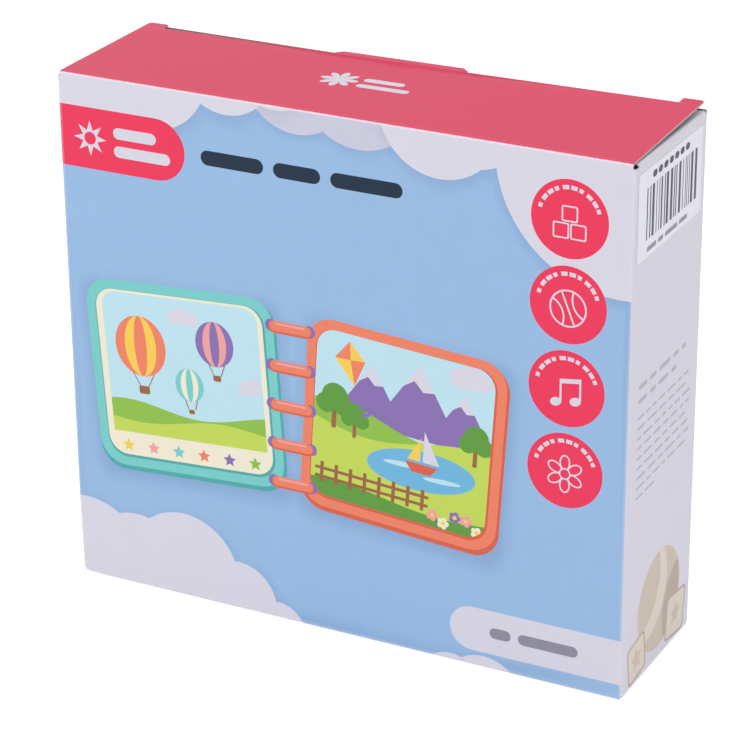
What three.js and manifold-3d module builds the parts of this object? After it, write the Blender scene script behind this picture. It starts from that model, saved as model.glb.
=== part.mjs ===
// A tuck-top carton of thin printed paperboard, standing upright and closed, with a label on its right side.
// Units are millimetres. +Z is up, +X is to the right seen from the front, and +Y points to the back.
// The origin is on the floor, under the middle of the carton.

import * as THREE from "three";
import { mergeVertices } from "three/addons/utils/BufferGeometryUtils.js";
import Module from "manifold-3d";

const wasm = await Module();
wasm.setup();

// Sizes of the carton
const cartonWidth = 240;
const cartonDepth = 68;
const cartonHeight = 216; // to the lid's upper face at its fold
const boardThickness = 0.6;
const foldRadius = 1.2; // outside radius of every fold
const cornerRadius = 1.2; // outside radius of the four upright folds
const cornerRelief = 1.3; // room that each flap keeps to the corner beside it
const seatGap = 0.3; // between the lid and what it lies on
const glueOverlap = 0.02; // how far glued layers sink into each other
const cutGap = 0.5; // width of a cut between two flaps

// Lid, which hinges on the front panel
const lidSideInset = 1.2;
const lidRearInset = 0.3;
const lidCornerChamfer = 1;
const shoulderWidth = 9.6; // from the carton's side to the slit beside the tuck flap
const foldSplitAngle = 9; // half the open angle where the lid's fold leaves the front panel
const lidRise = 1.3; // how far the closed lid stands up along its rear edge
const lidTwist = 1.2; // extra rise at the right end, and as much less at the left
const tabDip = 0.6; // how much lower the lid lies at its tab
const dipWidth = 40;
const riseCurve = 1.3; // power of the lid's rise from its fold to its rear edge

// Tuck flap and the tab cut out of its root
const tuckSetback = 4; // from the carton's back face to the tuck flap's outer face
const tuckDepth = 17;
const tuckTaper = 1.5;
const tuckCornerRadius = 9;
const tabWidth = 57.6;
const tabOffset = -4.8; // of the tab's middle from the carton's middle
const tabReach = 3; // past the tuck flap's outer face
const tabSlant = 3;

// Dust flaps on the two sides
const dustLength = 44;
const dustSlope = 6; // degrees below level
const dustShoulder = 8; // full width next to the fold
const dustTaper = 5; // how much the front edge draws in towards the tip
const dustCornerRadius = 8;
const dustClearance = 1.2; // to the tuck flap

// Glued bottom
const minorLength = 38;
const minorTipInset = 13;
const majorStep = 8; // how far the meeting line of the two long flaps lies off the middle
const majorStepHalfWidth = 20;
const glueFlapWidth = 16;
const glueFlapEndInset = 6;
const glueFlapSlant = 5;
const seamDepth = 0.3; // groove at the cut edge of the left panel
const seamFromCorner = 1.5;

// Label on the right side
const labelThickness = 0.1;
const labelWidth = 61;
const labelHeight = 34;
const labelTopDrop = 5.2; // from the carton's top
const labelFrontInset = 2.4;
const labelCornerRadius = 1.5;

// Facets
const foldSteps = 6;
const columnPitch = 12;
const rowPitch = 8;

const halfWidth = cartonWidth / 2;
const halfDepth = cartonDepth / 2;
const radians = THREE.MathUtils.degToRad;

// The lid lies on this level, and the back panel and both side folds end just below it.
const seatLevel = cartonHeight - boardThickness - seatGap;
const tuckOuterFace = halfDepth - tuckSetback;
const tuckInnerFace = tuckOuterFace - boardThickness;

const whiteBoard = { color: 0xd8d5e2, roughness: 0.5, metalness: 0 };
const redBoard = { color: 0xe0506c, roughness: 0.45, metalness: 0 };
const labelPaper = { color: 0xe8e6ee, roughness: 0.6, metalness: 0 };

function solidFrom(geometry) {
  const bare = geometry.index ? geometry : geometry.clone();
  bare.deleteAttribute("normal");
  bare.deleteAttribute("uv");
  const merged = mergeVertices(bare, 1e-4);
  return new wasm.Manifold(
    new wasm.Mesh({
      numProp: 3,
      vertProperties: merged.attributes.position.array,
      triVerts: new Uint32Array(merged.index.array),
    }),
  );
}

function geometryFrom(solid) {
  const mesh = solid.getMesh();
  const geometry = new THREE.BufferGeometry();
  geometry.setAttribute("position", new THREE.BufferAttribute(mesh.vertProperties, 3));
  geometry.setIndex(new THREE.BufferAttribute(mesh.triVerts, 1));
  geometry.computeVertexNormals();
  return geometry;
}

function roundedRectangle(width, depth, radius, Kind = THREE.Shape) {
  const outline = new Kind();
  const x = width / 2;
  const y = depth / 2;
  outline.moveTo(x - radius, -y);
  outline.absarc(x - radius, -y + radius, radius, -Math.PI / 2, 0);
  outline.absarc(x - radius, y - radius, radius, 0, Math.PI / 2);
  outline.absarc(-x + radius, y - radius, radius, Math.PI / 2, Math.PI);
  outline.absarc(-x + radius, -y + radius, radius, Math.PI, 1.5 * Math.PI);
  outline.closePath();
  return outline;
}

// A plan outline given as corner points, drawn up between two levels.
function planPrism(corners, low, high) {
  const outline = new THREE.Shape(corners.map(([x, y]) => new THREE.Vector2(x, y)));
  const geometry = new THREE.ExtrudeGeometry(outline, { depth: high - low, bevelEnabled: false });
  geometry.translate(0, 0, low);
  return solidFrom(geometry);
}

function block(xLow, xHigh, yLow, yHigh, zLow, zHigh) {
  const geometry = new THREE.BoxGeometry(xHigh - xLow, yHigh - yLow, zHigh - zLow);
  geometry.translate((xLow + xHigh) / 2, (yLow + yHigh) / 2, (zLow + zHigh) / 2);
  return solidFrom(geometry);
}

// Section of a fold: a short stretch of the wall, the arc, and the flap that the arc leads into.
// Its first axis points inwards from the wall's outer face. Its second points away from the carton.
function foldSection(turn, flapLength, stub) {
  const inner = foldRadius - boardThickness;
  const section = new THREE.Shape();
  const end = Math.PI - radians(turn);
  const along = new THREE.Vector2(Math.sin(end), -Math.cos(end)).multiplyScalar(flapLength);
  const arcPoint = (radius, angle) =>
    new THREE.Vector2(foldRadius + radius * Math.cos(angle), -foldRadius + radius * Math.sin(angle));
  const points = [new THREE.Vector2(0, -foldRadius - stub)];
  for (let i = 0; i <= foldSteps; i++) {
    points.push(arcPoint(foldRadius, Math.PI + ((end - Math.PI) * i) / foldSteps));
  }
  if (flapLength > 0) {
    points.push(arcPoint(foldRadius, end).add(along));
    points.push(arcPoint(inner, end).add(along));
  }
  for (let i = foldSteps; i >= 0; i--) {
    points.push(arcPoint(inner, Math.PI + ((end - Math.PI) * i) / foldSteps));
  }
  points.push(new THREE.Vector2(boardThickness, -foldRadius - stub));
  section.setFromPoints(points);
  return section;
}

// Stands a fold's section on one wall. outward is the wall's direction, level is where the fold ends,
// and up is 1 for a flap at the top or -1 for one at the bottom.
function foldedEdge({ outward, reach, level, up, turn, flapLength, width }) {
  const stub = 3;
  const section = foldSection(turn, flapLength, stub);
  if (up < 0) {
    const mirrored = section.getPoints().map((p) => new THREE.Vector2(p.x, -p.y));
    section.curves = [];
    section.setFromPoints(mirrored);
  }
  const geometry = new THREE.ExtrudeGeometry(section, { depth: width, bevelEnabled: false });
  geometry.translate(0, 0, -width / 2);
  const inward = outward.clone().negate();
  const upward = new THREE.Vector3(0, 0, 1);
  const basis = new THREE.Matrix4().makeBasis(inward, upward, inward.clone().cross(upward));
  basis.setPosition(outward.clone().multiplyScalar(reach).setZ(level));
  geometry.applyMatrix4(basis);
  return solidFrom(geometry);
}

function mirrorPlan(corners, flipX, flipY) {
  return corners.map(([x, y]) => [x * flipX, y * flipY]);
}

// Corner points of a quarter circle in plan, from one angle to another.
function planArc(x, y, radius, from, to) {
  const steps = 5;
  return Array.from({ length: steps + 1 }, (_, i) => {
    const angle = radians(from + ((to - from) * i) / steps);
    return [x + radius * Math.cos(angle), y + radius * Math.sin(angle)];
  });
}

function makeSleeve() {
  const outline = roundedRectangle(cartonWidth, cartonDepth, cornerRadius);
  outline.holes.push(
    roundedRectangle(
      cartonWidth - 2 * boardThickness,
      cartonDepth - 2 * boardThickness,
      cornerRadius - boardThickness,
      THREE.Path,
    ),
  );
  const geometry = new THREE.ExtrudeGeometry(outline, {
    depth: seatLevel - foldRadius,
    bevelEnabled: false,
    curveSegments: foldSteps,
  });
  geometry.translate(0, 0, foldRadius);
  let sleeve = solidFrom(geometry);
  const above = cartonHeight + foldRadius;
  const sideCutFront = -halfDepth + cornerRelief + cornerRadius;
  // The front panel ends where the lid's fold begins.
  sleeve = sleeve.subtract(
    block(-halfWidth - 1, halfWidth + 1, -halfDepth - 1, sideCutFront, cartonHeight - foldRadius, above),
  );
  for (const side of [-1, 1]) {
    const outerX = side * (halfWidth + 1);
    const innerX = side * (halfWidth - cornerRelief);
    const [low, high] = side > 0 ? [innerX, outerX] : [outerX, innerX];
    // Each side panel ends where its dust flap's fold begins, with a relief cut at both ends.
    sleeve = sleeve.subtract(
      block(low, high, -halfDepth - 1, halfDepth - cornerRadius, seatLevel - foldRadius, above),
    );
    // The short flaps of the bottom lie on the long ones, so the sides end a board's thickness higher.
    const skirtTop = foldRadius + boardThickness;
    sleeve = sleeve.subtract(block(low, high, -halfDepth - 1, halfDepth + 1, 0, skirtTop));
  }
  return sleeve;
}

function makeFrontFold() {
  return foldedEdge({
    outward: new THREE.Vector3(0, -1, 0),
    reach: halfDepth,
    level: cartonHeight,
    up: 1,
    turn: 45 - foldSplitAngle,
    flapLength: 0,
    width: cartonWidth - 2 * cornerRelief,
  });
}

function makeDustFlap(side) {
  const flap = foldedEdge({
    outward: new THREE.Vector3(side, 0, 0),
    reach: halfWidth,
    level: seatLevel,
    up: 1,
    turn: 90 + dustSlope,
    flapLength: dustLength,
    width: cartonDepth,
  });
  const front = -halfDepth + cornerRadius + cornerRelief;
  const rear = halfDepth - cornerRadius - cutGap;
  const rearInner = tuckInnerFace - dustClearance;
  const outer = halfWidth + 1;
  const tip = halfWidth - dustLength;
  const stepX = halfWidth - dustShoulder;
  const corners = [
    [outer, front],
    [outer, rear],
    [stepX, rear],
    [stepX - (rear - rearInner) / 2, rearInner],
    ...planArc(tip + dustCornerRadius, rearInner - dustCornerRadius, dustCornerRadius, 90, 180),
    ...planArc(tip + dustCornerRadius, front + dustTaper + dustCornerRadius, dustCornerRadius, 180, 270),
    [stepX, front + boardThickness],
  ];
  const drop = dustLength * Math.sin(radians(dustSlope)) + 3 * foldRadius + 3;
  return flap.intersect(planPrism(mirrorPlan(corners, side, 1), seatLevel - drop, seatLevel + 1));
}

function makeMinorFlap(side) {
  const flap = foldedEdge({
    outward: new THREE.Vector3(side, 0, 0),
    reach: halfWidth,
    level: boardThickness - glueOverlap,
    up: -1,
    turn: 90,
    flapLength: minorLength,
    width: cartonDepth,
  });
  const root = halfDepth - cornerRelief;
  const tip = halfDepth - minorTipInset;
  const tipX = halfWidth - minorLength;
  const corners = [
    [halfWidth + 1, -root],
    [halfWidth + 1, root],
    [halfWidth - foldRadius - cornerRelief, root],
    [tipX, tip],
    [tipX, -tip],
    [halfWidth - foldRadius - cornerRelief, -root],
  ];
  return flap.intersect(planPrism(mirrorPlan(corners, side, 1), -1, 4 * foldRadius));
}

// The two long flaps of the bottom meet along a stepped line. The back one is the front one turned half round.
function makeMajorFlap(facing) {
  const flap = foldedEdge({
    outward: new THREE.Vector3(0, facing, 0),
    reach: halfDepth,
    level: 0,
    up: -1,
    turn: 90,
    flapLength: halfDepth + majorStep,
    width: cartonWidth,
  });
  const side = halfWidth - cornerRelief;
  const halfCut = cutGap / 2;
  const corners = [
    [-side, -halfDepth - 1],
    [side, -halfDepth - 1],
    [side, -majorStep - halfCut],
    [majorStepHalfWidth, -majorStep - halfCut],
    [-majorStepHalfWidth, majorStep - halfCut],
    [-side, majorStep - halfCut],
  ];
  const turned = mirrorPlan(corners, -facing, -facing);
  return flap.intersect(planPrism(turned, -1, 4 * foldRadius));
}

// The strip that closes the sleeve, glued inside the left panel at its rear edge.
function makeGlueFlap() {
  const rear = halfDepth - boardThickness;
  const front = rear - glueFlapWidth;
  const low = boardThickness + foldRadius + glueFlapEndInset;
  const high = seatLevel - glueFlapEndInset - foldRadius;
  const outline = new THREE.Shape(
    [
      [front, low + glueFlapSlant],
      [rear, low],
      [rear, high],
      [front, high - glueFlapSlant],
    ].map(([y, z]) => new THREE.Vector2(y, z)),
  );
  const geometry = new THREE.ExtrudeGeometry(outline, {
    depth: boardThickness + glueOverlap,
    bevelEnabled: false,
  });
  const basis = new THREE.Matrix4().makeBasis(
    new THREE.Vector3(0, 1, 0),
    new THREE.Vector3(0, 0, 1),
    new THREE.Vector3(1, 0, 0),
  );
  geometry.applyMatrix4(basis);
  geometry.translate(-halfWidth + boardThickness - glueOverlap, 0, 0);
  return solidFrom(geometry);
}

function makeCartonBody() {
  let body = makeSleeve().add(makeFrontFold()).add(makeGlueFlap());
  for (const side of [-1, 1]) {
    body = body.add(makeDustFlap(side)).add(makeMajorFlap(side)).add(makeMinorFlap(side));
  }
  const seamRear = halfDepth - seamFromCorner;
  const seam = block(
    -halfWidth - 1,
    -halfWidth + seamDepth,
    seamRear - cutGap / 2,
    seamRear,
    0,
    cartonHeight,
  );
  return geometryFrom(body.subtract(seam));
}

// How far the closed lid stands above level at a point in plan.
function lidLift(x, y) {
  const run = THREE.MathUtils.clamp((y + halfDepth - foldRadius) / (cartonDepth - foldRadius), 0, 1);
  const fromTab = (x - tabOffset) / dipWidth;
  const rear = lidRise + (lidTwist * x) / halfWidth - tabDip * Math.exp(-fromTab * fromTab);
  return rear * run ** riseCurve;
}

// Evenly divided stops between the given ones, no wider apart than the pitch.
function divide(stops, pitch) {
  const all = [stops[0]];
  for (let i = 1; i < stops.length; i++) {
    const from = stops[i - 1];
    const count = Math.max(1, Math.ceil((stops[i] - from) / pitch));
    for (let k = 1; k <= count; k++) all.push(from + ((stops[i] - from) * k) / count);
  }
  return all;
}

// A closed sheet of board from square cells. Each cell names its four corners, counterclockwise from
// outside, and pointsOf gives the outer and the inner point of a corner.
function sheetFrom(cells, pointsOf) {
  const positions = [];
  const indices = [];
  const numbers = new Map();
  const numberOf = (corner) => {
    if (!numbers.has(corner)) {
      numbers.set(corner, positions.length / 3);
      for (const point of pointsOf(corner)) positions.push(...point.toArray());
    }
    return numbers.get(corner);
  };
  const edges = new Set();
  for (const cell of cells) {
    const [a, b, c, d] = cell.map(numberOf);
    indices.push(a, b, c, a, c, d, a + 1, c + 1, b + 1, a + 1, d + 1, c + 1);
    for (const [from, to] of [[a, b], [b, c], [c, d], [d, a]]) edges.add(`${from} ${to}`);
  }
  for (const edge of edges) {
    const [from, to] = edge.split(" ").map(Number);
    if (edges.has(`${to} ${from}`)) continue;
    indices.push(to, from, from + 1, to, from + 1, to + 1);
  }
  const geometry = new THREE.BufferGeometry();
  geometry.setAttribute("position", new THREE.Float32BufferAttribute(positions, 3));
  geometry.setIndex(indices);
  geometry.computeVertexNormals();
  return geometry;
}

// The lid with its tuck flap. Rows run from the front fold to the rear. Past the tuck fold the sheet is
// cut: the shoulders and the tab go on level, and the tuck flap between them turns down.
function makeLid() {
  const lidSide = halfWidth - lidSideInset;
  const slit = halfWidth - shoulderWidth;
  const tabLeft = tabOffset - tabWidth / 2;
  const tabRight = tabOffset + tabWidth / 2;
  const columns = divide([-lidSide, -slit, tabLeft, tabRight, slit, lidSide], columnPitch);
  const columnOf = (x) => columns.findIndex((stop) => Math.abs(stop - x) < 1e-6);
  const [slitLeft, slitRight] = [columnOf(-slit), columnOf(slit)];
  const [tabFirst, tabLast] = [columnOf(tabLeft), columnOf(tabRight)];

  const frontCentre = new THREE.Vector2(-halfDepth + foldRadius, cartonHeight - foldRadius);
  const tuckStart = tuckOuterFace - foldRadius;
  const frontRows = [];
  const firstAngle = 135 - foldSplitAngle;
  for (let i = 0; i <= foldSteps; i++) {
    const angle = radians(firstAngle + ((90 - firstAngle) * i) / foldSteps);
    frontRows.push({ centre: frontCentre, angle });
  }
  for (const y of divide([frontCentre.x, tuckStart], rowPitch).slice(1)) {
    frontRows.push({ centre: new THREE.Vector2(y, frontCentre.y), angle: Math.PI / 2 });
  }

  // Rows of the parts that go on level, with their distance past the tuck fold's start
  const levelRows = (length) => [0.5, 1].map((share) => share * length);
  const tabLength = foldRadius + tabReach;
  const shoulderLength = halfDepth - lidRearInset - tuckStart;
  const tabSide = (distance) => tabSlant * Math.max(0, (distance - foldRadius) / tabReach);

  // Rows of the tuck flap: the arc, the notch that the tab leaves, and the rounded end
  const tuckCentre = new THREE.Vector2(tuckStart, cartonHeight - foldRadius);
  const arcLength = (foldRadius * Math.PI) / 2;
  const notchDepth = tabLength + cutGap;
  const straightEnd = tuckDepth - foldRadius - tuckCornerRadius;
  const flapRows = [];
  for (let i = 1; i <= foldSteps; i++) {
    flapRows.push({ angle: ((90 * (foldSteps - i)) / foldSteps) * (Math.PI / 180), drop: 0 });
  }
  const notchDrop = notchDepth - arcLength;
  flapRows.push({ angle: 0, drop: notchDrop });
  for (let i = 0; i <= foldSteps; i++) {
    const turn = radians((90 * i) / foldSteps);
    flapRows.push({ angle: 0, drop: straightEnd + tuckCornerRadius * Math.sin(turn), turn });
  }

  const flapSide = ({ drop, turn }) => {
    const corner = turn ? tuckCornerRadius * (1 - Math.cos(turn)) : 0;
    return slit - cutGap - (tuckTaper * drop) / tuckDepth - corner;
  };
  const flapX = (column, row) => {
    const along = arcLength * (1 - row.angle / (Math.PI / 2)) + row.drop;
    const slant = tabSide(Math.min(along, notchDepth)) - cutGap;
    const [left, right] = [tabLeft + slant, tabRight - slant];
    const side = flapSide(row);
    const blend = (from, to, low, high) =>
      THREE.MathUtils.mapLinear(columns[column], columns[low], columns[high], from, to);
    if (column <= tabFirst) return blend(-side, left, slitLeft, tabFirst);
    if (column >= tabLast) return blend(right, side, tabLast, slitRight);
    return blend(left, right, tabFirst, tabLast);
  };

  const place = (x, centre, angle, drop = 0) =>
    [foldRadius, foldRadius - boardThickness].map((radius) => {
      const y = centre.x + radius * Math.cos(angle);
      const z = centre.y + radius * Math.sin(angle) - drop;
      return new THREE.Vector3(x, y, z + lidLift(x, Math.min(y, tuckOuterFace)));
    });
  const levelPlace = (x, distance) =>
    [foldRadius, foldRadius - boardThickness].map((radius) => {
      const y = tuckStart + distance;
      return new THREE.Vector3(x, y, tuckCentre.y + radius + lidLift(x, y));
    });

  const lastFront = frontRows.length - 1;
  const pointsOf = (corner) => {
    const [part, column, row] = corner.split(" ").map((word, i) => (i ? Number(word) : word));
    const x = columns[column];
    if (part === "panel") return place(x, frontRows[row].centre, frontRows[row].angle);
    if (part === "flap") {
      const at = flapRows[row];
      return place(flapX(column, at), tuckCentre, at.angle, at.drop);
    }
    if (part === "tab") {
      const distance = levelRows(tabLength)[row];
      const slant = tabSide(distance);
      const inset = THREE.MathUtils.mapLinear(x, tabLeft, tabRight, slant, -slant);
      return levelPlace(x + inset, distance);
    }
    const outerColumn = column === 0 || column === columns.length - 1;
    const chamfer = outerColumn && row === 1 ? Math.sign(x) * lidCornerChamfer : 0;
    return levelPlace(x - chamfer, levelRows(shoulderLength)[row]);
  };

  const cells = [];
  const name = (part, column, row) =>
    row < 0 ? `panel ${column} ${lastFront}` : `${part} ${column} ${row}`;
  const addCell = (part, column, row) =>
    cells.push([
      name(part, column, row - 1),
      name(part, column + 1, row - 1),
      name(part, column + 1, row),
      name(part, column, row),
    ]);
  for (let column = 0; column < columns.length - 1; column++) {
    for (let row = 1; row <= lastFront; row++) addCell("panel", column, row);
    const onShoulder = column < slitLeft || column >= slitRight;
    const onTab = column >= tabFirst && column < tabLast;
    if (onShoulder || onTab) {
      for (let row = 0; row < 2; row++) addCell(onTab ? "tab" : "shoulder", column, row);
    }
    if (onShoulder) continue;
    const firstFlapRow = onTab ? foldSteps + 1 : 0;
    for (let row = firstFlapRow; row < flapRows.length; row++) addCell("flap", column, row);
  }
  return sheetFrom(cells, pointsOf);
}

function makeLabel() {
  const outline = roundedRectangle(labelWidth, labelHeight, labelCornerRadius);
  const geometry = new THREE.ExtrudeGeometry(outline, {
    depth: labelThickness,
    bevelEnabled: false,
    curveSegments: foldSteps,
  });
  const basis = new THREE.Matrix4().makeBasis(
    new THREE.Vector3(0, 1, 0),
    new THREE.Vector3(0, 0, 1),
    new THREE.Vector3(1, 0, 0),
  );
  geometry.applyMatrix4(basis);
  const middle = -halfDepth + labelFrontInset + labelWidth / 2;
  geometry.translate(halfWidth, middle, cartonHeight - labelTopDrop - labelHeight / 2);
  return geometry;
}

const carton = new THREE.Group();

function addPiece(name, geometry, finish) {
  const mesh = new THREE.Mesh(geometry, new THREE.MeshStandardMaterial(finish));
  mesh.name = name;
  carton.add(mesh);
}

addPiece("carton_body", makeCartonBody(), whiteBoard);
addPiece("lid", makeLid(), redBoard);
addPiece("side_label", makeLabel(), labelPaper);

export default carton;
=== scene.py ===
"""Looks of a printed retail carton: folded board, printed artwork of simple shapes, label and studio."""

import math
import random

import bpy
from bpy.props import FloatProperty, FloatVectorProperty, PointerProperty
from mathutils import Matrix, Vector, noise
from mathutils.geometry import delaunay_2d_cdt


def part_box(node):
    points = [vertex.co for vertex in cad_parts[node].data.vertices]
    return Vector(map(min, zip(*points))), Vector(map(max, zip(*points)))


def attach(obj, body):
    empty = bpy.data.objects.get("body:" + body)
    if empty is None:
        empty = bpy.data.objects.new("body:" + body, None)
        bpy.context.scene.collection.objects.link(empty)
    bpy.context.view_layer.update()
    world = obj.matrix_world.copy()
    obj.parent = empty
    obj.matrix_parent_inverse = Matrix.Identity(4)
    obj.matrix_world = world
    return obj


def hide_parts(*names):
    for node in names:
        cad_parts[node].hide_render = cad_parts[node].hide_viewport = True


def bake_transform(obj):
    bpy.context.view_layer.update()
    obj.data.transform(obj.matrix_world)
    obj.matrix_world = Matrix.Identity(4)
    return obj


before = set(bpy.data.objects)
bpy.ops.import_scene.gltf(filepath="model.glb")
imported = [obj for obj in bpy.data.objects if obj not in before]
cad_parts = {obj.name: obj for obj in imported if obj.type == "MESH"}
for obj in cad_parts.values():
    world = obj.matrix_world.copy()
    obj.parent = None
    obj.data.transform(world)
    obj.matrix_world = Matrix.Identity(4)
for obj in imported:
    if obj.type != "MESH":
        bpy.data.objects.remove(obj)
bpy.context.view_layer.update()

bl_info = {
    "name": "Printed retail carton",
    "version": (1, 0, 0),
    "blender": (4, 5, 0),
    "location": "View3D > Sidebar > Carton",
    "description": "Folds and prints a tuck-top paperboard carton around its packed model",
    "category": "Object",
}

MM = 0.001
BODY_LOW, BODY_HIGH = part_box("carton_body")
LID_LOW, LID_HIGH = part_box("lid")
LABEL_LOW, LABEL_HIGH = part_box("side_label")

# Details of the blank, in millimetres
BODY_TO_FOLD = 0.47  # from the body's top edge up to the lid's upper face
FOLD_STEPS = 6  # facets across each fold
GLUE_OVERLAP = 0.02  # how far glued layers sink into each other
GLUE_FOLD_LOSS = 0.2  # how much tighter the glued strip's fold is than the others
GLUE_END_INSET = 6  # how much shorter than its panel the glued strip is at each end
GLUE_SLANT = 5  # how far each end of the strip slants
FOLD_NOTCH = 0.15  # how far what folds off a panel keeps from the panel's end
FLAP_TURN = math.radians(96)  # the dust flaps fold on past level
TUCK_SETBACK = 4  # from the back face to the tuck flap
TUCK_STEP = 0.3  # how far past the start of its fold the tuck flap leaves the slit
DUST_CLEARANCE = 1.2  # from a dust flap to the tuck flap
DUST_SHOULDER = 8  # how far past its fold a dust flap starts to narrow
DUST_TAPER = 5  # how much the front edge draws in towards the tip
DUST_STEP = 0.6  # how much of that lies at the shoulder
DUST_CORNER = 8  # radius of the two corners at the tip
MINOR_TIP_INSET = 13  # how far a short bottom flap's tip lies inside the side panel's edges
MAJOR_STEP = 8  # how far the line where the long bottom flaps meet lies off the middle
MAJOR_STEP_HALF = 20  # half the length over which that line crosses the middle
DISH_POWER = 0.7  # below 1, so that a panel sinks in soon behind its edges
RIPPLE = (0.011, 0.013, 3.1)  # scales along and up the panel, and a fixed third place
KNOCK_REACH = 5.0  # how far round the knocked corner the board gives way
KNOCK = Vector((0.9, 0.5, 0.5))  # how far the corner itself is pushed in
LID_RISE_POWER = 1.3  # above 1, so that the lid rises more towards its rear edge
LID_DIP_WIDTH = 40  # how wide the dip at the thumb tab spreads
LID_CHAMFER = 1.0  # at the two rear corners
TAB_ROOT_GAP = 0.02  # width of the tab's cut where it starts
TAB_SLANT_SHIFT = 0.4  # share of the cut's width by which the tab's far corners move out with the cut
TAB_TOLERANCE = 0.3  # share of the cut's width that still counts as the tab
STRIP_GAP = 0.1  # from the front panel's ends to the creased strip above it
STRIP_STEPS = 10  # facets across the creased strip
STRIP_RED = 0.42  # share of the strip below the line where the lid's red starts
CREASE_REACH = 0.5  # how far the pale worn print and painted highlight spread beside a fold
# How pale the folds and the lid's edges are painted: worn print, and a painted highlight of the light their
# rounded faces catch
UPRIGHT_WEAR_AND_HIGHLIGHT, LOWER_WEAR_AND_HIGHLIGHT, LID_WEAR_AND_HIGHLIGHT, TUCK_WEAR_AND_HIGHLIGHT = 0.3, 0.35, 0.3, 0.5
MERGE = 1e-4  # flat points closer than this are one

# Finish of the print
SHADE_TINT = (0.52, 0.56, 0.68, 1)  # what a full printed shade multiplies an ink by
FINE_GRAIN, COARSE_GRAIN = (2600.0, 3.0, 0.6), (90.0, 4.0, 0.55)  # scale, detail and roughness
COARSE_SHARE = 0.35  # how much the coarse grain adds to the relief
GRAIN_DEPTH = 0.00003  # in metres
SPECULAR = 0.25
WORN_ROUGHER = 0.35  # how much rougher fully worn print is


def rgb(text):
    """A colour written as six hexadecimal digits, as Blender's linear values."""
    parts = [int(text[i:i + 2], 16) / 255 for i in (0, 2, 4)]
    return tuple(p / 12.92 if p <= 0.04045 else ((p + 0.055) / 1.055) ** 2.4 for p in parts)


def number(name, description, default, **kind):
    return FloatProperty(name=name, description=description, default=default, **kind)


def length(name, description, default_mm):
    return number(name, description, default_mm * MM, unit="LENGTH", subtype="DISTANCE")


def angle(name, description, degrees):
    return number(name, description, math.radians(degrees), subtype="ANGLE")


def colour(name, description, text):
    return FloatVectorProperty(
        name=name, description=description, default=rgb(text), size=3, min=0, max=1, subtype="COLOR"
    )


class CartonSizes(bpy.types.PropertyGroup):
    width: length("Width", "Carton from side to side", (BODY_HIGH.x - BODY_LOW.x) / MM)
    depth: length("Depth", "Carton from front to back", (BODY_HIGH.y - BODY_LOW.y) / MM)
    height: length("Height", "Carton to the lid's fold", (BODY_HIGH.z - BODY_LOW.z) / MM + BODY_TO_FOLD)
    board: length("Board thickness", "Thickness of the paperboard", 0.6)
    fold: length("Fold radius", "Outside radius of every fold", 1.2)
    seat_gap: length("Seat gap", "Gap between the lid and what it lies on", 0.3)
    relief: length("Corner relief", "Room that each flap keeps to its corner", 1.3)
    cut: length("Cut", "Width of a cut between two flaps", 0.5)
    dust_length: length("Dust flap", "Length of the two dust flaps", 44)
    minor_length: length("Short bottom flap", "Length of the short bottom flaps", 38)
    glue_width: length("Glue strip", "Width of the glued strip", 16)
    dish: length("Panel dish", "How far the large panels sink in at their middle", 0.35)
    grid: length("Mesh pitch", "Spacing of the mesh across the panels", 4)


class LidSizes(bpy.types.PropertyGroup):
    shoulder: length("Shoulder", "From the carton's side to the slit", 9.6)
    tuck_setback: length("Tuck setback", "From the back face to the tuck flap", TUCK_SETBACK)
    tuck_depth: length("Tuck depth", "Depth of the tuck flap", 17)
    tuck_taper: length("Tuck taper", "How much the tuck flap narrows", 1.5)
    tuck_corner: length("Tuck corner", "Radius of the tuck flap's corners", 9)
    tab_width: length("Tab width", "Width of the thumb tab", 57.6)
    tab_offset: length("Tab offset", "The tab's middle from the carton's middle", -4.8)
    tab_reach: length("Tab reach", "How far the tab passes the tuck flap", 3)
    rise: length("Rise", "How far the closed lid stands up at its rear edge", 1.3)
    twist: length("Twist", "Extra rise at the right end", 1.2)
    dip: length("Dip", "How much lower the lid lies at its tab", 0.6)


class InkColours(bpy.types.PropertyGroup):
    red: colour("Red", "Banner and round fields", "EE365A")
    # Painted shade: the banner's red ink made darker for the lid and its fold, so that the top face looks
    # shaded
    lid_red: colour("Shaded lid red", "Lid and its fold", "D93359")
    sky: colour("Sky", "Ground of the front panel", "9ABCE2")
    white: colour("White", "Bare coated board", "DAD7E3")
    cloud: colour("Cloud", "Near clouds", "DBD8E4")
    far_cloud: colour("Far cloud", "Clouds behind", "CBCBDC")
    inside: colour("Inside", "Grey inner side of the board", "8E8078")
    edge: colour("Cut edge", "Cut edges of the board", "BCB0A9")
    # Pale colours along the folds: worn print, and a painted highlight where the rounded folds and edges
    # catch the light
    crack_and_highlight: colour("Worn red", "Red print worn pale on the folds", "FAD6E0")
    pale_wear_and_highlight: colour("Worn print", "Other print worn pale on the folds", "ECE9F1")
    text: colour("Text", "Bars in place of dark text", "0E263C")
    soft_text: colour("Soft text", "Bars in place of grey text", "8E8D9C")
    faint_text: colour("Faint text", "Dashes in place of small text", "B4B2BE")


class StageSettings(bpy.types.PropertyGroup):
    azimuth: angle("Azimuth", "Camera round the carton", 27.28)
    elevation: angle("Elevation", "Camera above the horizon", 24.09)
    roll: angle("Roll", "Camera turned about its own axis", -0.46)
    distance: length("Distance", "Camera to the carton", 1225.2)
    aim_right: length("Aim right", "Aim from the origin, across the picture", -1.9)
    aim_up: length("Aim up", "Aim from the origin, up the picture", 89.5)
    lens: number("Lens", "Focal length in millimetres", 145.33)
    world: number("World light", "Strength of the even light", 0.6)
    key: number("Key light", "Power of the large front light in watts", 10.0)
    top: number("Top light", "Power of the overhead light in watts", 4.5)
    side: number("Side light", "Power of the light at the right in watts", 4.0)
    lift: number("Floor glow", "How much whiter the floor is seen than lit", 0.4)


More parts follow.
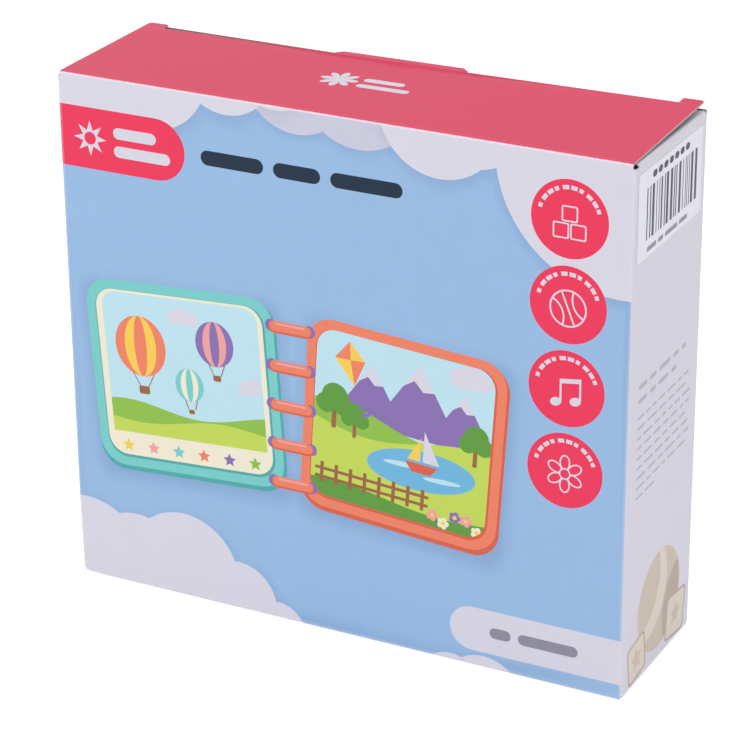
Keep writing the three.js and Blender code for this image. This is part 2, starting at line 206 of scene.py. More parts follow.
class Sheet:
    """Print and outline of one flat sheet, in millimetres. Shapes drawn later lie over earlier ones."""

    def __init__(self, outline, ground):
        self.outline = outline
        self.ground = ground
        self.shift = 0.0  # where the panel that is being printed starts
        self.holes = []
        self.rows = []
        self.shapes = []

    def draw(self, ink, corners, within=()):
        """Adds a field of one ink and returns its number. within names the fields that it is kept to."""
        self.shapes.append((ink, [(x + self.shift, y) for x, y in corners], frozenset(within)))
        return len(self.shapes)

    @staticmethod
    def spread(values, pitch, taken):
        """Even places between the ends of values, without those close to a taken one."""
        low, count = min(values), int((max(values) - min(values)) / pitch)
        places = [low + i * pitch for i in range(1, count)]
        return [place for place in places if all(abs(place - other) > pitch / 5 for other in taken)]

    def cut(self, pitch):
        """The flat points, and the triangles with the ink of each."""
        points, edges, faces = [], [], []
        for corners in (self.outline, *(shape[1] for shape in self.shapes), *self.holes):
            area = sum(a[0] * b[1] - a[1] * b[0] for a, b in zip(corners, corners[1:] + corners[:1]))
            faces.append(list(range(len(points), len(points) + len(corners))))
            points.extend(corners if area > 0 else corners[::-1])
        for start, end in self.rows:
            edges.append((len(points), len(points) + 1))
            points.extend((start, end))
        xs, ys = zip(*self.outline)
        columns = self.spread(xs, pitch, [a[0] for a, b in self.rows if a[0] == b[0]])
        levels = self.spread(ys, pitch, [a[1] for a, b in self.rows if a[1] == b[1]])
        points += [(x, y) for x in columns for y in levels]
        flat, _, triangles, _, _, sources = delaunay_2d_cdt(
            [Vector(point) for point in points], edges, faces, 1, MERGE
        )
        first_hole = len(self.shapes) + 1
        kept = []
        for triangle, source in zip(triangles, sources):
            inside = set(source)
            if 0 not in inside or max(inside) >= first_hole:
                continue
            ink = self.ground
            for rank, (own, _, within) in enumerate(self.shapes, 1):
                if rank in inside and within <= inside:
                    ink = own
            kept.append((triangle, ink))
        return flat, kept


def turned(points, x, y, degrees):
    """Points round the origin, turned and moved to a place."""
    c, s = math.cos(math.radians(degrees)), math.sin(math.radians(degrees))
    return [(x + c * px - s * py, y + s * px + c * py) for px, py in points]


def arc_points(x, y, radius, start, end, steps=5):
    angles = [math.radians(start + (end - start) * i / steps) for i in range(steps + 1)]
    return [(x + radius * math.cos(a), y + radius * math.sin(a)) for a in angles]


def circle(x, y, radius, steps):
    turns = [2 * math.pi * i / steps for i in range(steps)]
    return [(x + radius * math.cos(t), y + radius * math.sin(t)) for t in turns]


def oval(x, y, half_width, half_height, tilt=0, steps=36):
    points = [(half_width * px, half_height * py) for px, py in circle(0, 0, 1, steps)]
    return turned(points, x, y, tilt)


def oblong(left, bottom, right, top):
    return [(left, bottom), (right, bottom), (right, top), (left, top)]


def rounded(x, y, width, height, radius, tilt=0, steps=7):
    """A rounded rectangle about its middle."""
    radius = min(radius, width / 2 - 1e-3, height / 2 - 1e-3)
    points = []
    for quarter, (sx, sy) in enumerate(((1, 1), (-1, 1), (-1, -1), (1, -1))):
        middle = sx * (width / 2 - radius), sy * (height / 2 - radius)
        points += arc_points(*middle, radius, 90 * quarter, 90 * quarter + 90, steps)
    return turned(points, x, y, tilt)


def arc_band(x, y, inner, outer, start, end, steps=4):
    return arc_points(x, y, outer, start, end, steps) + arc_points(x, y, inner, end, start, steps)


def star(x, y, outer, inner, points=5, tilt=90):
    corners = []
    for i in range(2 * points):
        t = math.radians(tilt + 180 * i / points)
        r = inner if i % 2 else outer
        corners.append((x + r * math.cos(t), y + r * math.sin(t)))
    return corners


def wave_hill(left, right, base, top, swell, phase, steps=26):
    """A field with a rolling upper edge, from left to right above a base line."""
    points = [(left, base), (right, base)]
    for i in range(steps + 1):
        x = right + (left - right) * i / steps
        points.append((x, top + swell * math.sin(phase + (x - left) / (right - left) * 2 * math.pi)))
    return points


def bars(sheet, ink, x, y, widths, height, space, within=()):
    """A line of rounded bars in place of words."""
    for width in widths:
        sheet.draw(ink, rounded(x + width / 2, y, width, height, height / 2), within)
        x += width + space


def soft_step(value, low, high):
    t = min(max((value - low) / (high - low), 0), 1)
    return t * t * (3 - 2 * t)


class BoardFold:
    """Turns flat places of the carton's blank into places on the folded carton, in millimetres."""

    def __init__(self, sizes):
        self.w, self.d, self.h = sizes.width / MM, sizes.depth / MM, sizes.height / MM
        self.t, self.r = sizes.board / MM, sizes.fold / MM
        self.relief, self.cut = sizes.relief / MM, sizes.cut / MM
        self.seat = self.h - self.t - sizes.seat_gap / MM
        self.dish = sizes.dish / MM
        self.arc = self.r * math.pi / 2
        glue_radius = self.r - GLUE_FOLD_LOSS
        w, d, r, t = self.w / 2, self.d / 2, self.r, self.t
        # A panel has its start, direction and length. A fold has its centre, start angle and radius.
        plan = (
            ("left", (-w, d), (0, -1), 2 * d - r),
            (None, (-w + r, -d + r), 180, r),
            ("front", (-w + r, -d), (1, 0), 2 * w - 2 * r),
            (None, (w - r, -d + r), 270, r),
            ("right", (w, -d + r), (0, 1), 2 * d - 2 * r),
            (None, (w - r, d - r), 0, r),
            ("back", (w - r, d), (-1, 0), 2 * w - r - t - glue_radius),
            (None, (-w + t + glue_radius, d - glue_radius), 90, glue_radius),
            ("glue", (-w + t + GLUE_OVERLAP, d - glue_radius), (0, -1), sizes.glue_width / MM),
        )
        self.stretches = {}
        self.path = []
        at = 0.0
        for name, start, turn, size in plan:
            run = size if name else size * math.pi / 2
            self.path.append((at, at + run, name, start, turn, size))
            if name:
                self.stretches[name] = (at, at + run)
            at += run

    def edge_of(self, panel):
        """Where a panel's left edge lies on the blank, in the middle of the fold before it."""
        return self.stretches[panel][0] - self.arc / 2

    def along(self, u):
        """Place on the outer face, the outward direction and the panel, at a distance along the blank."""
        for low, high, name, start, turn, size in self.path:
            if u <= high + 1e-6:
                break
        if name:
            e = u - low
            return (start[0] + turn[0] * e, start[1] + turn[1] * e), (turn[1], -turn[0]), name
        a = math.radians(turn) + (u - low) / size
        outward = (math.cos(a), math.sin(a))
        return (start[0] + size * outward[0], start[1] + size * outward[1]), outward, None

    def folds_at(self, panel):
        """Where a panel's upper and lower folds start, and how far the upper one turns."""
        if panel in ("left", "right"):
            return self.seat - self.r, self.r + self.t, FLAP_TURN
        return self.h, self.r, math.pi / 2

    def inset(self, d, turn):
        """Inward and further distance, and the direction, at a distance past a fold's start."""
        a = min(d / self.r, turn)
        e = d - self.r * a
        inward = self.r * (1 - math.cos(a)) + e * math.sin(a)
        return inward, self.r * math.sin(a) + e * math.cos(a), a

    def place(self, u, v):
        """Outer point and outward direction of a flat place of the body."""
        (x, y), (nx, ny), panel = self.along(u)
        top, bottom, turn = self.folds_at(panel)
        inward, z, tilt, sign = 0.0, v, 0.0, 1
        if panel and v > top:
            inward, further, tilt = self.inset(v - top, turn)
            z = top + further
        elif panel and v < bottom:
            inward, further, tilt = self.inset(bottom - v, math.pi / 2)
            z, sign = bottom - further, -1
            if panel in ("left", "right"):
                z += GLUE_OVERLAP
        point = Vector((x - nx * inward, y - ny * inward, z))
        normal = Vector((nx * math.cos(tilt), ny * math.cos(tilt), sign * math.sin(tilt)))
        if panel in ("front", "back") and self.r < v < self.h:
            low, high = self.stretches[panel]
            share = math.sin(math.pi * (u - low) / (high - low)) * math.sin(math.pi * v / self.h)
            ripple = 0.5 + 0.5 * noise.noise(Vector((u * RIPPLE[0], v * RIPPLE[1], RIPPLE[2])))
            point -= normal * self.dish * max(share, 0) ** DISH_POWER * ripple
        return self.knocked(point), normal

    def knocked(self, point):
        """Knocks in the lower left corner of the front a little."""
        corner = Vector((-self.w / 2, -self.d / 2, 0))
        return point + KNOCK * max(0.0, 1 - (point - corner).length / KNOCK_REACH) ** 2


class LidFold:
    """Turns flat places of the lid into places on the closed lid, in millimetres."""

    def __init__(self, carton, lid):
        board = BoardFold(carton)
        self.w, self.d, self.h, self.t, self.r = board.w, board.d, board.h, board.t, board.r
        self.cut, self.arc = board.cut, board.arc
        self.side = (LID_HIGH.x - LID_LOW.x) / MM / 2
        self.rear = LID_HIGH.y / MM
        self.slit = self.w / 2 - lid.shoulder / MM
        self.start = self.d / 2 - lid.tuck_setback / MM - self.r
        self.front = -self.d / 2 + self.r
        self.depth = lid.tuck_depth / MM
        self.taper, self.corner = lid.tuck_taper / MM, lid.tuck_corner / MM
        middle, half = lid.tab_offset / MM, lid.tab_width / MM / 2
        self.tab = (middle - half, middle + half)
        self.tab_reach = lid.tab_reach / MM
        self.rise, self.twist, self.dip = lid.rise / MM, lid.twist / MM, lid.dip / MM

    def lift(self, x, y):
        """How far the closed lid stands up at a place."""
        run = min(max((y + self.d / 2 - self.r) / (self.d - self.r), 0), 1)
        from_tab = (x - sum(self.tab) / 2) / LID_DIP_WIDTH
        rear = self.rise + self.twist * x / (self.w / 2) - self.dip * math.exp(-from_tab * from_tab)
        return rear * run ** LID_RISE_POWER

    def tab_outline(self, grow=0.0):
        """The tab's outline past the tuck fold, from its left root round to its right root."""
        left, right = self.tab
        root, reach = self.start + self.r, self.start + self.r + self.tab_reach + grow
        slant = self.tab_reach - grow * TAB_SLANT_SHIFT
        return [
            (left - grow, self.start), (left - grow, root), (left + slant, reach),
            (right - slant, reach), (right + grow, root), (right + grow, self.start),
        ]

    def level(self, x, s):
        """True past the tuck fold where the sheet goes on level, on a shoulder or on the tab."""
        if abs(x) > self.slit - self.cut / 2:
            return True
        past_root = s - self.start - self.r
        slant = max(0.0, past_root)
        tolerance = self.cut * TAB_TOLERANCE
        inside = self.tab[0] + slant - tolerance < x < self.tab[1] - slant + tolerance
        return inside and past_root < self.tab_reach + tolerance

    def place(self, x, s):
        """Outer point and outward direction of a flat place of the lid."""
        if s <= self.start or self.level(x, s):
            return Vector((x, s, self.h + self.lift(x, s))), Vector((0, 0, 1))
        d = s - self.start
        a = min(d / self.r, math.pi / 2)
        y = self.start + self.r * math.sin(a)
        z = self.h - self.r + self.r * math.cos(a) - max(0.0, d - self.arc)
        return Vector((x, y, z + self.lift(x, y))), Vector((0, math.sin(a), math.cos(a)))


def unmarked(u, v, ink):
    """The measure of a sheet that bears no such mark."""
    return 0.0


def make_board(name, sheet, place, thickness, pitch, shade=unmarked, crease=unmarked, back="inside"):
    """A closed piece of board from a flat sheet. place gives the outer point and outward direction.

    shade and crease measure a flat place and its ink, and are kept at each corner of the printed faces.
    """
    flat, triangles = sheet.cut(pitch)
    used = sorted({corner for triangle, _ in triangles for corner in triangle})
    index = {corner: i for i, corner in enumerate(used)}
    outer, inner = [], []
    for corner in used:
        point, normal = place(flat[corner].x, flat[corner].y)
        outer.append(point * MM)
        inner.append((point - normal * thickness) * MM)
    count = len(used)
    inks = sorted({ink for _, ink in triangles}) + [back, "edge"]
    faces, slots, borders = [], [], set()
    marks = {"shade": (shade, []), "crease": (crease, [])}
    for triangle, ink in triangles:
        a, b, c = (index[corner] for corner in triangle)
        faces += [(a, b, c), (c + count, b + count, a + count)]
        slots += [inks.index(ink), len(inks) - 2]
        borders |= {(a, b), (b, c), (c, a)}
        for measure, values in marks.values():
            values += [measure(flat[corner].x, flat[corner].y, ink) for corner in triangle] + [0.0] * 3
    rims = sorted(edge for edge in borders if (edge[1], edge[0]) not in borders)
    for start, end in rims:
        faces.append((end, start, start + count, end + count))
        slots.append(len(inks) - 1)
        for _, values in marks.values():
            values += [0.0] * 4
    mesh = bpy.data.meshes.new(name)
    mesh.from_pydata(outer + inner, [], faces)
    for ink in inks:
        mesh.materials.append(bpy.data.materials[ink])
    mesh.polygons.foreach_set("material_index", slots)
    mesh.polygons.foreach_set("use_smooth", [True] * len(faces))
    mesh.update()
    rim_edges = {frozenset(edge) for edge in rims} | {frozenset((a + count, b + count)) for a, b in rims}
    sharp = mesh.attributes.new("sharp_edge", "BOOLEAN", "EDGE")
    sharp.data.foreach_set("value", [frozenset(edge.vertices) in rim_edges for edge in mesh.edges])
    for mark, (_, values) in marks.items():
        mesh.attributes.new(mark, "FLOAT", "CORNER").data.foreach_set("value", values)
    piece = bpy.data.objects.new(name, mesh)
    bpy.context.scene.collection.objects.link(piece)
    return piece


def node(tree, kind, values=None, **settings):
    """A new node with its settings, and with links or plain values at its inputs."""
    made = tree.nodes.new(kind)
    for key, value in settings.items():
        setattr(made, key, value)
    for key, value in (values or {}).items():
        if isinstance(value, bpy.types.NodeSocket):
            tree.links.new(value, made.inputs[key])
        else:
            made.inputs[key].default_value = value
    return made


def calc(tree, operation, *values, clamp=False):
    """The result of a math node."""
    settings = {"operation": operation, "use_clamp": clamp}
    return node(tree, "ShaderNodeMath", dict(enumerate(values)), **settings).outputs[0]


def new_group(name, inputs, outputs):
    """An empty shader node group with its sockets: the group, its inner inputs, and its end node."""
    group = bpy.data.node_groups.new(name, "ShaderNodeTree")
    for socket, value in inputs.items():
        kind = "NodeSocketFloat" if isinstance(value, float) else "NodeSocketColor"
        group.interface.new_socket(socket, in_out="INPUT", socket_type=kind).default_value = value
    for socket, kind in outputs.items():
        group.interface.new_socket(socket, in_out="OUTPUT", socket_type=kind)
    return group, group.nodes.new("NodeGroupInput").outputs, group.nodes.new("NodeGroupOutput")


def paper_grain_group():
    """Fine fibre and press texture of coated board: a height and a mottle, in object space."""
    group, given, end = new_group(
        "Paper grain", {"Scale": 1.0, "Mottle": 0.5},
        {"Height": "NodeSocketFloat", "Tone": "NodeSocketFloat"},
    )
    place = node(group, "ShaderNodeTexCoord").outputs["Object"]
    size = node(group, "ShaderNodeVectorMath", {0: place, "Scale": given["Scale"]}, operation="SCALE")
    fine, coarse = (
        node(group, "ShaderNodeTexNoise", {
            "Vector": size.outputs[0], "Scale": scale, "Detail": detail, "Roughness": roughness,
        }).outputs["Fac"]
        for scale, detail, roughness in (FINE_GRAIN, COARSE_GRAIN)
    )
    group.links.new(calc(group, "MULTIPLY_ADD", coarse, COARSE_SHARE, fine), end.inputs["Height"])
    centred = calc(group, "SUBTRACT", coarse, 0.5)
    group.links.new(calc(group, "MULTIPLY", centred, given["Mottle"]), end.inputs["Tone"])


def print_wear_and_highlight_group():
    """Ink with printed soft shade, light mottle, and pale cracked print where the board is creased, which
    also paints the highlight that the rounded folds catch.
    """
    group, given, end = new_group(
        "Print wear",
        {"Ink": (1, 1, 1, 1), "Crack": (1, 1, 1, 1), "Shade": 0.0, "Crease": 0.0, "Tone": 0.0},
        {"Color": "NodeSocketColor", "Worn": "NodeSocketFloat"},
    )
    shaded = node(
        group, "ShaderNodeMix", {"Factor": given["Shade"], "A": given["Ink"], "B": SHADE_TINT},
        data_type="RGBA", blend_type="MULTIPLY",
    )
    value = calc(group, "ADD", given["Tone"], 1.0)
    light = node(group, "ShaderNodeHueSaturation", {"Value": value, "Color": shaded.outputs["Result"]})
    place = node(group, "ShaderNodeTexCoord").outputs["Object"]
    cracks = node(
        group, "ShaderNodeTexNoise", {"Vector": place, "Scale": 700.0, "Detail": 5.0, "Roughness": 0.7}
    )
    broken = node(group, "ShaderNodeMapRange", {
        "Value": cracks.outputs["Fac"], "From Min": 0.35, "From Max": 0.6, "To Min": 0.6, "To Max": 1.0,
    })
    # Paler where creased, broken up by the noise: worn print, and a painted highlight on the folds
    worn_and_highlight = calc(group, "MULTIPLY", given["Crease"], broken.outputs["Result"], clamp=True)
    mixed = node(
        group, "ShaderNodeMix", {"Factor": worn_and_highlight, "A": light.outputs["Color"], "B": given["Crack"]},
        data_type="RGBA",
    )
    group.links.new(mixed.outputs["Result"], end.inputs["Color"])
    group.links.new(worn_and_highlight, end.inputs["Worn"])


def print_material(name, ink, crack_and_highlight, roughness=0.42, mottle=0.05, bump=0.25, grain_scale=1.0):
    """Coated board printed in one ink."""
    material = bpy.data.materials.new(name)
    material.use_nodes = True
    material.diffuse_color = (*ink, 1)
    tree = material.node_tree
    grain = node(tree, "ShaderNodeGroup", node_tree=bpy.data.node_groups["Paper grain"])
    grain.inputs["Scale"].default_value = grain_scale
    grain.inputs["Mottle"].default_value = mottle
    # This group paints the pale folds, as worn print and as a painted highlight
    wear = node(tree, "ShaderNodeGroup", node_tree=bpy.data.node_groups["Print wear"])
    wear.inputs["Ink"].default_value = (*ink, 1)
    # Pale colour of the folds: worn print, and a painted highlight
    wear.inputs["Crack"].default_value = (*crack_and_highlight, 1)
    for mark in ("Shade", "Crease"):
        read = node(tree, "ShaderNodeAttribute", attribute_name=mark.lower())
        tree.links.new(read.outputs["Fac"], wear.inputs[mark])
    tree.links.new(grain.outputs["Tone"], wear.inputs["Tone"])
    rough = calc(tree, "MULTIPLY_ADD", wear.outputs["Worn"], WORN_ROUGHER, roughness, clamp=True)
    relief = node(tree, "ShaderNodeBump", {
        "Strength": bump, "Distance": GRAIN_DEPTH, "Height": grain.outputs["Height"],
    })
    shader = tree.nodes["Principled BSDF"]
    shader.inputs["Specular IOR Level"].default_value = SPECULAR
    tree.links.new(wear.outputs["Color"], shader.inputs["Base Color"])
    tree.links.new(calc(tree, "ADD", rough, grain.outputs["Tone"], clamp=True), shader.inputs["Roughness"])
    tree.links.new(relief.outputs["Normal"], shader.inputs["Normal"])


def bare_material(name, tint, mottle, grain_scale, bump):
    """Uncoated board: the grey inside, or a cut edge."""
    print_material(name, tint, tint, 0.85, mottle, bump, grain_scale)


PICTURE_INKS = {
    "teal": "79CDC9", "deep_teal": "4FA9A8", "coral": "EF8264", "deep_coral": "D9624A", "lime": "C3D858",
    "grass": "8FBF4A", "leaf": "5E9A3C", "sun": "F8CE55", "cream": "F2EAD2", "pale_sky": "BFE3EE",
    "trunk": "9A6440", "water": "6FB6DC", "plum": "8A6FB0", "rose": "F0A3A0", "beige": "CDBDAE",
    "dark_beige": "B7A594", "light_beige": "DED2C6", "label": "ECEBF4", "ink_black": "3A3D48",
}


class CARTON_OT_materials(bpy.types.Operator):
    """Makes the inks, the bare board and the shared shader groups"""

    bl_idname = "carton.materials"
    bl_label = "Carton materials"

    def execute(self, context):
        inks = context.scene.carton_inks
        paper_grain_group()
        print_wear_and_highlight_group()
        # Each ink's pale fold colour stands for worn print and for a painted highlight on the folds
        # lid_red is the same red painted darker, as shade on the lid's top face
        for name in ("red", "lid_red"):
            print_material(name, getattr(inks, name), inks.crack_and_highlight)
        for name in ("sky", "white", "cloud", "far_cloud", "text", "soft_text", "faint_text"):
            print_material(name, getattr(inks, name), inks.pale_wear_and_highlight)
        for name, text in PICTURE_INKS.items():
            print_material(name, rgb(text), inks.pale_wear_and_highlight)
        bare_material("inside", inks.inside, mottle=0.5, grain_scale=1.0, bump=0.7)
        bare_material("edge", inks.edge, mottle=0.6, grain_scale=3.0, bump=0.8)
        return {"FINISHED"}


def dust_outline(fold, sizes):
    """Flat corners of a dust flap as (distance from the panel's middle, height), from rear to front."""
    front = -fold.d / 2 + fold.r + fold.relief
    rear = fold.d / 2 - fold.r - fold.cut
    inner = fold.d / 2 - TUCK_SETBACK - fold.t - DUST_CLEARANCE
    outer = front + DUST_TAPER
    tip = sizes.dust_length / MM

    def at(inset, y):
        bend = fold.r * FLAP_TURN if inset > 0 else 0
        return (y, fold.seat - fold.r + max(0.0, inset - fold.r) + bend)

    points = [at(0, rear), at(DUST_SHOULDER, rear), at(DUST_SHOULDER + (rear - inner) / 2, inner)]
    for middle, start in ((inner - DUST_CORNER, 90), (outer + DUST_CORNER, 180)):
        corner = arc_points(DUST_CORNER, middle, DUST_CORNER, start, start + 90)
        points += [at(tip - x, y) for x, y in corner]
    return points + [at(DUST_SHOULDER, front + DUST_STEP), at(0, front)]


def body_outline(fold, sizes):
    """Outline of the flat blank without its lid, walked along the top and back along the bottom."""
    spans = fold.stretches
    half_depth = fold.d / 2
    left_end = spans["left"][1]
    right_start, right_end = spans["right"]
    front_low, front_high = spans["front"][0] + FOLD_NOTCH, spans["front"][1] - FOLD_NOTCH
    side_top, front_top = fold.seat - fold.r, fold.h - fold.r
    side_low = fold.r + fold.t
    glue_start, glue_end = spans["glue"]
    glue_high, glue_low = side_top - GLUE_END_INSET, side_low + GLUE_END_INSET
    dust = dust_outline(fold, sizes)

    def left_u(y):
        return half_depth - y

    def right_u(y):
        return right_start + y + half_depth - fold.r

    def below(inset):
        """How far down a place on a bottom flap lies, from its distance past the folded edge."""
        return inset + (fold.arc - fold.r if inset else 0)

    def minor_points(u_of, sign):
        root, tip, minor = half_depth - fold.relief, half_depth - MINOR_TIP_INSET, sizes.minor_length / MM
        corners = [(0, root), (fold.r + fold.relief, root), (minor, tip)]
        corners += [(inset, -y) for inset, y in reversed(corners)]
        return [(u_of(sign * y), side_low - below(inset)) for inset, y in corners]

    def major_points(name):
        start, end = spans[name]
        middle = start + fold.w / 2 - fold.r
        side = fold.w / 2 - fold.relief
        far_side = min(side, end - middle - FOLD_NOTCH)
        reach = half_depth - fold.cut / 2
        corners = [
            (far_side, 0), (far_side, reach - MAJOR_STEP), (MAJOR_STEP_HALF, reach - MAJOR_STEP),
            (-MAJOR_STEP_HALF, reach + MAJOR_STEP), (-side, reach + MAJOR_STEP), (-side, 0),
        ]
        return [(middle + x, fold.r - below(inset)) for x, inset in corners]

    return [
        (0, fold.seat), (fold.r, fold.seat), (fold.r, side_top),
        *((left_u(y), v) for y, v in dust),
        (left_end, side_top), (front_low, side_top), (front_low, front_top),
        (front_high, front_top), (front_high, side_top), (right_start, side_top),
        *((right_u(y), v) for y, v in reversed(dust)),
        (right_end, side_top), (right_end, fold.seat), (spans["back"][1], fold.seat),
        (glue_start, glue_high), (glue_end, glue_high - GLUE_SLANT),
        (glue_end, glue_low + GLUE_SLANT), (glue_start, glue_low), (spans["back"][1], fold.r),
        *major_points("back"), (spans["back"][0], fold.r), (right_end, side_low),
        *minor_points(right_u, 1), (right_start, side_low), (spans["front"][1], fold.r),
        *major_points("front"), (spans["front"][0], fold.r), (left_end, side_low),
        *minor_points(left_u, -1), (0, side_low),
    ]


def body_rows(fold):
    """Lines across which the flat blank bends."""
    rows = []
    steps = range(FOLD_STEPS + 1)
    for low, high, name, _, _, _ in fold.path:
        if name is None:
            across = [low + (high - low) * i / FOLD_STEPS for i in steps]
            for u in (*across, low - CREASE_REACH, high + CREASE_REACH):
                rows.append(((u, fold.r - 1), (u, fold.seat + 1)))
    for name in ("left", "front", "right", "back"):
        start, end = fold.stretches[name]
        top, bottom, turn = fold.folds_at(name)
        levels = [bottom + CREASE_REACH]
        for i in steps:
            if name in ("left", "right"):
                levels.append(top + fold.r * turn * i / FOLD_STEPS)
            levels.append(bottom - fold.arc * i / FOLD_STEPS)
        rows += [((start, v), (end, v)) for v in levels]
    return rows


# Print of the front panel, in millimetres from its lower left corner: middle and radius of each cloud,
# and middle, width, height and tilt of the pictured book's two pages.
NEAR_CLOUDS = (
    (5, 224, 27), (24, 222, 20), (41, 223.5, 25), (74, 230, 21), (95, 234, 20),
    (163, 223, 25), (176, 228, 24), (235, 213.5, 50),
    (4, 8, 27), (27, 10, 22), (49, 12, 25), (74, 4, 17), (92, -5, 12),
    (182, -12, 17), (168, -10, 13),
)
FAR_CLOUDS = ((104, 229, 23), (130, 230, 26), (146, 232, 20))
PAGES = ((52, 95, 84, 80, 3.5), (147, 92, 84, 80, -4))
BLEED_DOWN, BLEED_UP = 60, 9  # how far a panel's ground runs on over its flaps
FIELD_X, FIELD_TOP, FIELD_PITCH, FIELD_RADIUS = 214.6, 191.2, 33.2, 15.2
DASHES, DASH_START, DASH_PITCH = 10, 166, 15.5  # how many, and their angles in degrees
DASH_INNER, DASH_OUTER = 11.3, 12.9
CLOUD_SHADE, FAR_CLOUD_SHADE, PAGE_SHADE = 0.34, 0.22, 0.42  # how dark each printed shade is at most
CLOUD_FADE, PAGE_FADE = (-0.5, 4), (-1, 7)  # where a shade starts and ends, outwards from the edge
PAGE_CORNER = 5  # radius of the corners of a page's shade


def cloud_edge(x, z, clouds):
    """Distance outside the nearest cloud of a group; negative inside."""
    return min(math.hypot(x - cx, z - cz) - r for cx, cz, r in clouds)


def front_shade(x, z, ink):
    """Soft printed shade of the clouds and of the pictured book, which falls a little down and aside."""
    if ink == "far_cloud":
        return FAR_CLOUD_SHADE * (1 - soft_step(cloud_edge(x, z + 1.5, NEAR_CLOUDS), *CLOUD_FADE))
    if ink != "sky":
        return 0.0
    clouds = min(cloud_edge(x - 0.6, z + 1.6, NEAR_CLOUDS), cloud_edge(x, z + 1.2, FAR_CLOUDS) + 1)
    shade = CLOUD_SHADE * (1 - soft_step(clouds, *CLOUD_FADE))
    for cx, cz, width, height, tilt in PAGES:
        px, pz = turned([(x - cx - 1, z - cz + 3)], 0, 0, -tilt)[0]
        beside = max(abs(px) - width / 2 + PAGE_CORNER, 0)
        above = max(abs(pz) - height / 2 + PAGE_CORNER, 0)
        outside = math.hypot(beside, above) - PAGE_CORNER
        shade = max(shade, PAGE_SHADE * (1 - soft_step(outside, *PAGE_FADE)))
    return shade


def draw_round_field(sheet, x, z, kind):
    """A red round field with a line picture and a ring of dashes in place of words."""
    sheet.draw("red", circle(x, z, FIELD_RADIUS, 64))
    for i in range(DASHES):
        start = DASH_START - i * DASH_PITCH
        run = 12 if i % 3 else 8
        sheet.draw("white", arc_band(x, z, DASH_INNER, DASH_OUTER, start, start - run))
    z -= 1.4
    if kind == "blocks":
        for bx, bz in ((-3.4, -3.2), (3.4, -3.2), (0, 3.4)):
            sheet.draw("white", rounded(x + bx, z + bz, 6.4, 6.2, 0.8))
            sheet.draw("red", rounded(x + bx, z + bz, 5.2, 5.0, 0.4))
    elif kind == "ball":
        sheet.draw("white", circle(x, z, 7.4, 44))
        ground = sheet.draw("red", circle(x, z, 6.7, 44))
        for offset in (-9.5, 9.5):
            sheet.draw("white", circle(x + offset, z + offset * 0.4, 8.2, 44), (ground,))
            sheet.draw("red", circle(x + offset, z + offset * 0.4, 7.5, 44), (ground,))
        sheet.draw("white", rounded(x, z, 0.7, 13.4, 0.3, 22), (ground,))
    elif kind == "notes":
        for dx, dz in ((-4.2, -4.4), (3.6, -3.2)):
            sheet.draw("white", oval(x + dx, z + dz, 2.3, 1.7, 20))
            sheet.draw("white", rounded(x + dx + 1.9, z + dz + 4.6, 0.8, 9.4, 0.3))
        beam = [(x - 2.7, z + 5.0), (x + 5.9, z + 6.2), (x + 5.9, z + 4.4), (x - 2.7, z + 3.2)]
        sheet.draw("white", beam)
    else:
        for turn in range(30, 390, 60):
            px, pz = turned([(4.6, 0)], x, z, turn)[0]
            sheet.draw("white", oval(px, pz, 3.2, 2.2, turn))
            sheet.draw("red", oval(px, pz, 2.6, 1.6, turn))
        sheet.draw("white", circle(x, z, 2.4, 28))
        sheet.draw("red", circle(x, z, 1.8, 28))


class Page:
    """One page of the pictured book. Draws from the page's middle, turned with it and kept to its paper."""

    def __init__(self, sheet, place, edge, cover, paper):
        self.sheet, self.place, self.within = sheet, place, ()
        self.w, self.h = place[2:4]
        self.draw(edge, rounded(0.6, -1.4, self.w + 1.2, self.h + 1, 11))
        self.draw(cover, rounded(0, 0, self.w, self.h, 11))
        self.draw(edge, rounded(0, 0, self.w - 7.6, self.h - 7.6, 8.4))
        self.within = (self.draw(paper, rounded(-0.3, 0.5, self.w - 9, self.h - 9, 8)),)

    def draw(self, ink, corners, field=None):
        """Adds a field of one ink, kept to the page or to another field of it."""
        x, z, _, _, tilt = self.place
        return self.sheet.draw(ink, turned(corners, x, z, tilt), (field,) if field else self.within)

    def dots(self, ink, spots, steps):
        """Adds round spots, each given by its middle and radius."""
        for x, z, radius in spots:
            self.draw(ink, circle(x, z, radius, steps))


def draw_kite(page):
    """A kite with its tail."""
    page.draw("coral", [(-24, 33), (-17, 26), (-21, 15), (-30, 25)])
    page.draw("sun", [(-24, 33), (-17, 26), (-23.3, 25.3)])
    page.draw("sun", [(-21, 15), (-30, 25), (-23.3, 25.3)])
    for x, z, tilt in ((-19.5, 11.5, 30), (-17.2, 8, 60), (-15.6, 4, 20)):
        page.draw("plum", oval(x, z, 2.1, 0.9, tilt, 14))


def draw_tree(page, x, z, size):
    page.draw("trunk", rounded(x, z - 4 * size, 1.8 * size, 8 * size, 0.4))
    crown = ((0, 4, 5.2), (-3.4, 1, 3.8), (3.4, 1, 3.8))
    page.dots("leaf", [(x + dx * size, z + dz * size, radius * size) for dx, dz, radius in crown], 26)


def draw_boat(page):
    """A boat on a lake."""
    lake = page.draw("water", oval(9, -13, 23, 8.5, 4))
    page.draw("pale_sky", oval(2, -12, 9, 1.1, 4), lake)
    page.draw("pale_sky", oval(18, -15, 8, 1.0, 4), lake)
    page.draw("deep_coral", [(2, -10), (16, -10), (13, -14), (5, -14)])
    page.draw("white", [(9.6, -9), (9.6, 4), (16.6, -9)])
    page.draw("sun", [(8.4, -9), (8.4, 1), (3.0, -9)])


def draw_flowers(page, count, left, right, level):
    for i in range(count):
        x = left + (right - left) * i / (count - 1)
        z = level - 2.4 * math.sin(i * 1.9)
        petals = circle(x, z, 1.5, 5)
        page.dots(("rose", "cream", "plum")[i % 3], [(px, pz, 1.1) for px, pz in petals], 12)
        page.dots("sun", [(x, z, 0.9)], 12)


